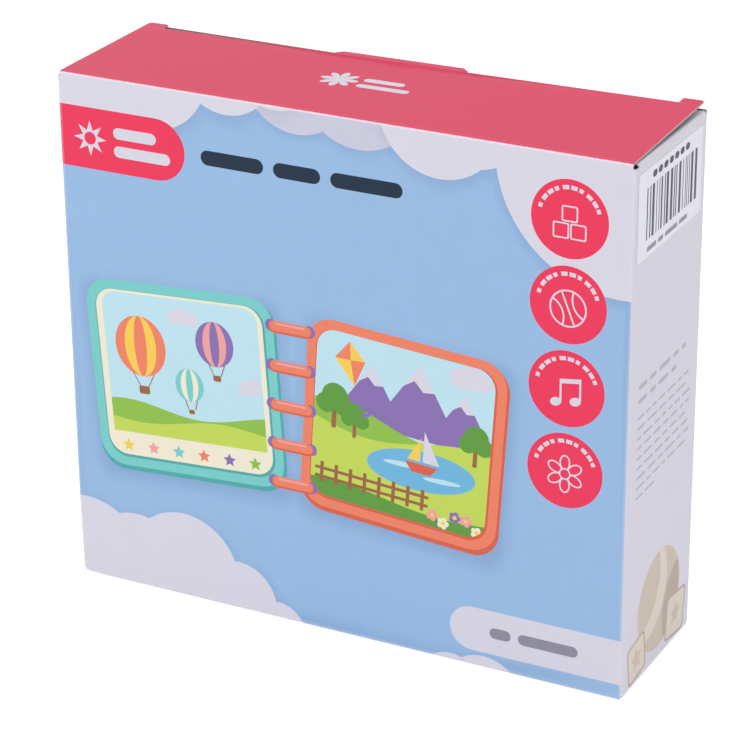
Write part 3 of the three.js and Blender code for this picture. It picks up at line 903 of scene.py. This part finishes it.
def draw_landscape_page(sheet):
    """The pictured book's right page: mountains, hills, a lake, a kite and a fence."""
    page = Page(sheet, PAGES[1], "deep_coral", "coral", "pale_sky")
    w, h = page.w, page.h
    for x, z, size in ((-14, 2, 1.0), (6, 0, 1.3), (25, 2, 0.9)):
        top = z + 24 * size
        page.draw("plum", [(x - 15 * size, z), (x + 15 * size, z), (x, top)])
        snow = ((-5, -8), (-1.6, -5.6), (1.4, -8.6), (5, -8), (0, 0))
        page.draw("white", [(x + dx * size, top + dz * size) for dx, dz in snow])
    page.dots("white", ((22, 30, 4), (27, 31, 5.2), (32, 30, 3.6)), 26)
    page.draw("grass", wave_hill(-w / 2, w / 2, -h / 2, 3, 4.5, 0.6))
    page.draw("lime", wave_hill(-w / 2, w / 2, -h / 2, -2, 3.5, 2.6))
    draw_boat(page)
    for tree in ((-29, 4, 1.1), (-20, 0, 0.85), (31, 3, 1.0)):
        draw_tree(page, *tree)
    draw_kite(page)
    page.draw("leaf", wave_hill(-w / 2, w / 2, -h / 2, -29, 1.8, 0.4))
    for i in range(8):
        page.draw("trunk", rounded(-33 + i * 6.2, -25, 1.5, 9, 0.5))
    for level in (-23.4, -27):
        page.draw("trunk", rounded(-11.5, level, 49, 1.3, 0.5))
    draw_flowers(page, 5, 15, 34, -30)


def draw_balloon(page, x, z, radius, first, second):
    """A striped balloon with its basket on two ropes."""
    balloon = page.draw(first, oval(x, z, radius, radius * 1.12))
    for ink, share in ((second, 0.62), (first, 0.24)):
        page.draw(ink, oval(x, z, radius * share, radius * 1.12), balloon)
    foot = z - radius * 1.45
    for side in (-1, 1):
        top_x, low_x = x + side * radius * 0.42, x + side * 1.6
        page.draw("trunk", [
            (top_x, z - radius), (top_x + 0.5, z - radius), (low_x + 0.5, foot - 1), (low_x, foot - 1),
        ])
    page.draw("trunk", rounded(x, foot - 2, radius * 0.42, radius * 0.3, 0.8))


def draw_balloon_page(sheet):
    """The pictured book's left page: balloons over a meadow and a row of stars."""
    page = Page(sheet, PAGES[0], "deep_teal", "teal", "cream")
    side = page.w / 2 - 7
    page.draw("pale_sky", rounded(0, 5, page.w - 14, page.h - 20, 6))
    page.draw("grass", wave_hill(-side, side, -25, -13, 2.6, 1.0))
    page.draw("lime", wave_hill(-side, side, -25, -18, 2.0, 3.4))
    draw_balloon(page, -19, 13, 11.5, "coral", "sun")
    draw_balloon(page, 15, 18, 8.5, "plum", "rose")
    draw_balloon(page, 2, -1, 6.4, "teal", "cream")
    page.dots("white", ((-3, 27, 3.0), (1.4, 28, 3.8), (5.6, 27, 2.8), (27, 1, 3), (31, 2, 3.8)), 24)
    for i, ink in enumerate(("sun", "rose", "teal", "coral", "plum", "grass")):
        page.draw(ink, star(-29 + i * 11.6, -30.8, 3.0, 1.4))


def draw_rings(sheet):
    """The rings that hold the pictured book's two pages."""
    middle, lowest, pitch, to_hole = 99.5, 61, 16.5, 8.3
    for i in range(5):
        z = lowest + pitch * i
        for x in (middle - to_hole, middle + to_hole):
            sheet.draw("plum", circle(x, z, 2.6, 24))
        sheet.draw("deep_coral", rounded(middle, z - 0.7, 18.6, 4.6, 2.3))
        sheet.draw("coral", rounded(middle, z, 18, 4.2, 2.1))
        sheet.draw("rose", rounded(middle, z + 0.9, 13, 0.9, 0.4))


def draw_banner(sheet):
    """Red banner with a round end, and the title's bars beside it."""
    middle, half = 190.5, 12.5
    outline = [(-3, middle + half), (-3, middle - half)] + arc_points(43, middle, half, -90, 90, 16)
    sheet.draw("red", outline)
    sheet.draw("white", star(13.5, middle, 7.2, 3.4, 8))
    sheet.draw("red", circle(13.5, middle, 2.6, 24))
    bars(sheet, "white", 24, 194.2, (19,), 4.6, 1)
    bars(sheet, "white", 24, 186.8, (25,), 4.6, 1)
    bars(sheet, "text", 62.5, 190.6, (27, 20, 30), 6.0, 4.2)


def draw_age_banner(sheet):
    """A pale banner with a round end and two bars."""
    middle, half = 16, 9.4
    outline = [(243, middle + half), (243, middle - half)] + arc_points(177, middle, half, 270, 90, 16)
    sheet.draw("cloud", outline)
    bars(sheet, "soft_text", 184.5, middle, (9, 25), 4.6, 3)


def draw_front(sheet, fold):
    """The front panel: sky and clouds, banner, title bars, pictured book, round fields and age banner."""
    sheet.shift = fold.edge_of("front")
    panel = sheet.draw("sky", oblong(0.3, -BLEED_DOWN, fold.w - 0.9, fold.h + BLEED_UP))
    for group, ink in ((FAR_CLOUDS, "far_cloud"), (NEAR_CLOUDS, "cloud")):
        for x, z, radius in group:
            sheet.draw(ink, circle(x, z, radius, 56), (panel,))
    draw_banner(sheet)
    draw_balloon_page(sheet)
    draw_landscape_page(sheet)
    draw_rings(sheet)
    for i, kind in enumerate(("blocks", "ball", "notes", "flower")):
        draw_round_field(sheet, FIELD_X, FIELD_TOP - FIELD_PITCH * i, kind)
    draw_age_banner(sheet)


def draw_right_side(sheet, fold):
    """The right side: a paragraph of dashes and a plain picture of a ball and blocks."""
    sheet.shift = fold.edge_of("right")
    picker = random.Random(7)
    margin, shortest, space = 8, 3, 0.28
    # Each line has its height on the panel, its thickness, its right end and a usual dash's length.
    lines = [(126.5, 1.9, 54, 10), (120.9, 1.9, 47, 10)]
    lines += [(114 - 4.1 * i, 1.1, 60 if i < 8 else 30, 7) for i in range(9)]
    for z, height, right, size in lines:
        x = margin
        while x < right - shortest:
            width = min(size * picker.uniform(0.5, 1.4), right - x)
            bars(sheet, "faint_text", x, z, (width,), height, 0)
            x += width + size * space
    ball = sheet.draw("beige", circle(35, 27, 21, 72))
    for ink, x, z, radius, steps in (
        ("light_beige", 22, 35, 21, 60), ("beige", 15, 40, 21, 60), ("dark_beige", 60, 16, 21, 60),
        ("light_beige", 36, 29, 3.2, 28),
    ):
        sheet.draw(ink, circle(x, z, radius, steps), (ball,))
    for x, z, size, tilt in ((14, 11, 16, 8), (53, 12, 18, -6)):
        block = sheet.draw("dark_beige", rounded(x, z, size + 1.2, size + 1.2, 2.4, tilt))
        sheet.draw("light_beige", rounded(x, z, size - 1, size - 1, 1.8, tilt), (block,))
        sheet.draw("beige", star(x, z, 5.4, 2.5, 5, 90 + tilt), (block,))


def draw_badge(sheet, x, z, rings, star_size, points, within=()):
    """A red round field with a white ring and a white star. rings names each radius and its steps."""
    for ink, (radius, steps) in zip(("red", "white", "red"), rings):
        sheet.draw(ink, circle(x, z, radius, steps), within)
    sheet.draw("white", star(x, z, star_size, 2.4, points), within)


def draw_left_side(sheet, fold):
    """The left side: four round fields, each over two bars."""
    sheet.shift = fold.stretches["left"][0]
    for i in range(4):
        z = 190 - 30 * i
        draw_badge(sheet, 34, z, ((11, 48), (8.2, 40), (7.4, 40)), 5.2, 4 + i)
        bars(sheet, "soft_text", 20, z - 15, (12, 13), 1.6, 2)


def draw_back(sheet, fold):
    """The back: sky with clouds, a pale panel with dashes, and a row of round fields."""
    sheet.shift = fold.edge_of("back")
    high = fold.stretches["glue"][0] - sheet.shift
    panel = sheet.draw("sky", oblong(0.9, -BLEED_DOWN, high, fold.h + BLEED_UP))
    for x, z, radius in (
        (20, 4, 26), (48, 0, 22), (74, -4, 19), (196, 2, 24), (222, 8, 27), (168, -6, 15),
        (6, 222, 30), (38, 228, 24), (204, 226, 24), (236, 220, 32),
    ):
        sheet.draw("cloud", circle(x, z, radius, 48), (panel,))
    sheet.draw("white", rounded(120, 118, 176, 84, 8), (panel,))
    picker = random.Random(11)
    left, last_start, right, space = 42.0, 186, 198, 3
    for row in range(9):
        x = left
        while x < last_start:
            width = picker.uniform(6, 16)
            if x + width > right:
                break
            bars(sheet, "soft_text", x, 150 - 8 * row, (width,), 1.8, 0, (panel,))
            x += width + space
    for i in range(4):
        draw_badge(sheet, 60 + 40 * i, 56, ((12, 44), (8.6, 40), (7.8, 40)), 5.4, 4 + i, (panel,))
    sheet.draw("red", rounded(120, 184, 96, 18, 9), (panel,))
    bars(sheet, "white", 84, 184, (28, 16, 22), 5, 3.4, (panel,))


class CARTON_OT_body(bpy.types.Operator):
    """Folds the printed blank into the sleeve with its dust flaps and glued bottom"""

    bl_idname = "carton.body"
    bl_label = "Carton body"

    def execute(self, context):
        sizes = context.scene.carton_sizes
        fold = BoardFold(sizes)
        sheet = Sheet(body_outline(fold, sizes), "white")
        sheet.rows = body_rows(fold)
        for draw in (draw_front, draw_left_side, draw_right_side, draw_back):
            draw(sheet, fold)
        front_low, front_high = fold.stretches["front"]
        upright_folds = [part[:2] for part in fold.path[:-1] if part[2] is None]

        def shade(u, v, ink):
            if front_low - 1 < u < front_high + 1:
                return front_shade(u - fold.edge_of("front"), v, ink)
            return 0.0

        # Paler along the upright folds and the lower fold: worn print, and a painted highlight of the light
        # the rounded folds catch
        def crease(u, v, ink):
            beside = min(max(low - u, u - high, 0) for low, high in upright_folds)
            value = UPRIGHT_WEAR_AND_HIGHLIGHT * (1 - soft_step(beside, -0.2, CREASE_REACH))
            if v < fold.r + CREASE_REACH:
                from_fold = abs(v - fold.r * 0.3)
                value = max(value, LOWER_WEAR_AND_HIGHLIGHT * (1 - soft_step(from_fold, 0.3, fold.r + CREASE_REACH)))
            return value

        piece = make_board("carton_board", sheet, fold.place, fold.t, sizes.grid / MM, shade, crease)
        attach(piece, "carton")
        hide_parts("carton_body")
        return {"FINISHED"}


def lid_outline(lid):
    """Outline of the flat lid, walked from its front left corner."""
    corner_start = lid.start + lid.arc + lid.depth - lid.r - lid.corner
    flap_side = lid.slit - lid.cut
    low_side = flap_side - lid.taper
    corner_middle = low_side - lid.corner
    shoulder = [
        (lid.side, lid.rear - LID_CHAMFER), (lid.side - LID_CHAMFER, lid.rear),
        (lid.slit, lid.rear), (lid.slit, lid.start), (flap_side, lid.start + TUCK_STEP),
    ]
    points = [(-lid.side, lid.front), (lid.side, lid.front), *shoulder, (low_side, corner_start)]
    points += arc_points(corner_middle, corner_start, lid.corner, 0, 90, 8)[1:]
    points += arc_points(-corner_middle, corner_start, lid.corner, 90, 180, 8)
    return points + [(-x, y) for x, y in reversed(shoulder)]


def draw_lid_mark(sheet):
    """A plain white flower mark with two bars on the lid."""
    for turn in range(0, 360, 45):
        px, py = turned([(4.9, 0)], -17, 3, turn)[0]
        sheet.draw("white", oval(px, py, 3.0, 1.5, turn))
    sheet.draw("white", circle(-17, 3, 2.3, 24))
    bars(sheet, "white", -8, 6.2, (17,), 3.6, 1)
    bars(sheet, "white", -8, -0.4, (22,), 3.6, 1)


class CARTON_OT_lid(bpy.types.Operator):
    """Makes the red lid with its shoulders, thumb tab and tuck flap"""

    bl_idname = "carton.lid"
    bl_label = "Carton lid"

    def execute(self, context):
        sizes = context.scene.carton_sizes
        lid = LidFold(sizes, context.scene.carton_lid)
        # The lid's ground is the red painted darker, as shade on the top face
        sheet = Sheet(lid_outline(lid), "lid_red")
        wide = lid.tab_outline(lid.cut)
        left, right = lid.tab
        wide[0], wide[-1] = (left - TAB_ROOT_GAP, lid.start), (right + TAB_ROOT_GAP, lid.start)
        sheet.holes.append(wide + lid.tab_outline()[::-1])
        tuck_end = lid.start + lid.arc
        for i in range(FOLD_STEPS + 1):
            s = lid.start + lid.arc * i / FOLD_STEPS
            sheet.rows.append(((-lid.slit, s), (lid.slit, s)))
        for s in (lid.front + CREASE_REACH, lid.start - CREASE_REACH, tuck_end + CREASE_REACH):
            sheet.rows.append(((-lid.side, s), (lid.side, s)))
        for x in (lid.side - CREASE_REACH, CREASE_REACH - lid.side):
            sheet.rows.append(((x, lid.front), (x, lid.rear)))
        draw_lid_mark(sheet)

        # Paler along the lid's front fold, its side edges and the tuck fold: worn print, and a painted
        # highlight of the light those edges catch
        def crease(x, s, ink):
            front = LID_WEAR_AND_HIGHLIGHT * (1 - soft_step(s - lid.front, 0, CREASE_REACH))
            sides = LID_WEAR_AND_HIGHLIGHT * (1 - soft_step(lid.side - abs(x), 0, CREASE_REACH))
            if s > lid.start and lid.level(x, s) or abs(x) > lid.slit:
                return max(front, sides)
            from_fold = abs(s - lid.start - lid.arc / 2) - lid.arc / 2
            return max(front, sides, TUCK_WEAR_AND_HIGHLIGHT * (1 - soft_step(from_fold, -0.4, CREASE_REACH)))

        piece = make_board("lid_board", sheet, lid.place, lid.t, sizes.grid / MM, crease=crease)
        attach(piece, "lid")
        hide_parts("lid")
        return {"FINISHED"}


class CARTON_OT_lid_fold(bpy.types.Operator):
    """Makes the creased board that curves from the front panel over to the lid"""

    bl_idname = "carton.lid_fold"
    bl_label = "Lid fold"

    def execute(self, context):
        fold = BoardFold(context.scene.carton_sizes)
        start, end = fold.stretches["front"]
        low, high = start + STRIP_GAP, end - STRIP_GAP
        bottom = fold.h - fold.r
        top = bottom + fold.arc
        split = bottom + fold.arc * STRIP_RED
        sheet = Sheet(oblong(low, bottom, high, top), "white")
        for i in range(1, STRIP_STEPS):
            v = bottom + fold.arc * i / STRIP_STEPS
            sheet.rows.append(((low, v), (high, v)))
        draw_front(sheet, fold)
        sheet.shift = 0.0
        # The lid's part of the strip, in the red painted darker as shade on the top
        sheet.draw("lid_red", oblong(low - BLEED_UP, split, high + BLEED_UP, top + BLEED_UP))

        def place(u, v):
            a = (v - bottom) / fold.r
            x = -fold.w / 2 + fold.r + (u - start)
            y = -fold.d / 2 + fold.r * (1 - math.cos(a))
            return Vector((x, y, bottom + fold.r * math.sin(a))), Vector((0, -math.cos(a), math.sin(a)))

        # A pale line where the lid's red starts: cracked print, and a painted highlight on the fold
        def crease(u, v, ink):
            return 1 - soft_step(abs(v - split), 0.15, 0.55)

        piece = make_board("lid_crease", sheet, place, fold.t, 2.0, crease=crease)
        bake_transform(piece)
        return {"FINISHED"}


class CARTON_OT_label(bpy.types.Operator):
    """Makes the white label with its bars on the right side"""

    bl_idname = "carton.label"
    bl_label = "Side label"

    def execute(self, context):
        low, high = LABEL_LOW / MM, LABEL_HIGH / MM
        middle_y, middle_z = (low.y + high.y) / 2, (low.z + high.z) / 2
        width, height = high.y - low.y, high.z - low.z
        sheet = Sheet(rounded(middle_y, middle_z, width, height, 1.5), "label")
        picker = random.Random(3)
        y, right, tall = low.y + 8, high.y - 6, height - 14
        while y < right:
            bar = picker.choice((0.7, 1.0, 1.4, 2.1))
            sheet.draw("ink_black", rounded(y + bar / 2, middle_z - 0.2, bar, tall, 0.05, 0, 1))
            y += bar + picker.choice((0.9, 1.2, 1.8))
        bars(sheet, "ink_black", low.y + 13, high.z - 3.6, [4] * 7, 2.6, 1.2)
        bars(sheet, "soft_text", low.y + 9, low.z + 2.9, (9, 5, 12, 8), 1.9, 1.6)

        def place(y, z):
            return Vector((high.x, y, z)), Vector((1, 0, 0))

        piece = make_board("label_sheet", sheet, place, high.x - low.x, 6.0, back="label")
        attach(piece, "carton")
        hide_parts("side_label")
        return {"FINISHED"}


# Name, place and width of each light, and the stage's own sizes, in metres
LIGHTS = (
    ("key", (-0.7, -1.5, 1.0), 1.2),
    ("top", (0.1, 0.1, 1.5), 1.0),
    ("side", (1.6, -0.3, 0.7), 1.0),
)
LIGHT_TARGET = Vector((0, 0, 0.1))
FLOOR_HALF = 3.0


def area_light(name, place, size, power):
    data = bpy.data.lights.new(name, "AREA")
    data.energy, data.size, data.shape = power, size, "SQUARE"
    lamp = bpy.data.objects.new(name, data)
    lamp.location = place
    lamp.rotation_euler = (LIGHT_TARGET - Vector(place)).to_track_quat("-Z", "Y").to_euler()
    bpy.context.scene.collection.objects.link(lamp)


def seen_share(tree):
    """1 for what is seen, straight or in a sheen or through glass, and 0 for what only lights."""
    path = node(tree, "ShaderNodeLightPath").outputs
    either = calc(tree, "MAXIMUM", path["Is Camera Ray"], path["Is Glossy Ray"])
    return calc(tree, "MAXIMUM", either, path["Is Transmission Ray"])


class CARTON_OT_stage(bpy.types.Operator):
    """Sets the floor, the light and the camera"""

    bl_idname = "carton.stage"
    bl_label = "Stage"

    def execute(self, context):
        scene = context.scene
        stage = scene.carton_stage
        scene.view_settings.view_transform = "Standard"
        self.add_world(scene, stage)
        self.add_floor(scene, stage)
        for name, place, size in LIGHTS:
            area_light(name, place, size, getattr(stage, name))
        self.add_camera(scene, stage)
        return {"FINISHED"}

    def add_world(self, scene, stage):
        """An even light that is seen as plain white."""
        scene.world = bpy.data.worlds.new("studio")
        scene.world.use_nodes = True
        tree = scene.world.node_tree
        background = tree.nodes["Background"]
        background.inputs["Color"].default_value = (0.98, 0.985, 1.0, 1)
        background.inputs["Strength"].default_value = stage.world
        white = node(tree, "ShaderNodeBackground", {"Color": (1, 1, 1, 1), "Strength": 1.0})
        parts = {0: seen_share(tree), 1: background.outputs[0], 2: white.outputs[0]}
        mix = node(tree, "ShaderNodeMixShader", parts)
        tree.links.new(mix.outputs[0], tree.nodes["World Output"].inputs["Surface"])

    def add_floor(self, scene, stage):
        mesh = bpy.data.meshes.new("floor")
        corners = oblong(-FLOOR_HALF, -FLOOR_HALF, FLOOR_HALF, FLOOR_HALF)
        mesh.from_pydata([(x, y, 0) for x, y in corners], [], [(0, 1, 2, 3)])
        floor = bpy.data.objects.new("floor", mesh)
        scene.collection.objects.link(floor)
        material = bpy.data.materials.new("pale_floor")
        material.use_nodes = True
        tree = material.node_tree
        shader = tree.nodes["Principled BSDF"]
        shader.inputs["Base Color"].default_value = (0.95, 0.95, 0.955, 1)
        shader.inputs["Roughness"].default_value = 0.8
        shader.inputs["Emission Color"].default_value = (1, 1, 1, 1)
        glow = calc(tree, "MULTIPLY", seen_share(tree), stage.lift)
        tree.links.new(glow, shader.inputs["Emission Strength"])
        mesh.materials.append(material)

    def add_camera(self, scene, stage):
        level = math.cos(stage.elevation)
        back = Vector((
            math.sin(stage.azimuth) * level, -math.cos(stage.azimuth) * level, math.sin(stage.elevation)
        ))
        right = (-back).cross(Vector((0, 0, 1))).normalized()
        turn = Matrix.Rotation(stage.roll, 3, back)
        right, up = turn @ right, turn @ right.cross(-back)
        place = right * stage.aim_right + up * stage.aim_up + back * stage.distance
        data = bpy.data.cameras.new("camera")
        data.lens = stage.lens
        camera = bpy.data.objects.new("camera", data)
        scene.collection.objects.link(camera)
        rotation = Matrix((right, up, back)).transposed().to_4x4()
        camera.matrix_world = Matrix.Translation(place) @ rotation
        scene.camera = camera


class CARTON_PT_panel(bpy.types.Panel):
    """Lists the steps that make the carton"""

    bl_label = "Printed carton"
    bl_idname = "CARTON_PT_panel"
    bl_space_type = "VIEW_3D"
    bl_region_type = "UI"
    bl_category = "Carton"

    def draw(self, context):
        for operator in OPERATORS:
            self.layout.operator(operator.bl_idname)
        for group in SETTINGS:
            settings = getattr(context.scene, group)
            for name in settings.bl_rna.properties.keys():
                if name not in ("rna_type", "name"):
                    self.layout.prop(settings, name)


OPERATORS = (
    CARTON_OT_materials, CARTON_OT_body, CARTON_OT_lid, CARTON_OT_lid_fold, CARTON_OT_label, CARTON_OT_stage,
)
SETTINGS = {
    "carton_sizes": CartonSizes, "carton_lid": LidSizes, "carton_inks": InkColours,
    "carton_stage": StageSettings,
}


def register():
    for group in (*SETTINGS.values(), *OPERATORS, CARTON_PT_panel):
        bpy.utils.register_class(group)
    for name, group in SETTINGS.items():
        setattr(bpy.types.Scene, name, PointerProperty(type=group))


def unregister():
    for name in SETTINGS:
        delattr(bpy.types.Scene, name)
    for group in reversed((*SETTINGS.values(), *OPERATORS, CARTON_PT_panel)):
        bpy.utils.unregister_class(group)


def main():
    register()
    for operator in OPERATORS:
        family, name = operator.bl_idname.split(".")
        getattr(getattr(bpy.ops, family), name)()


if __name__ == "__main__":
    main()
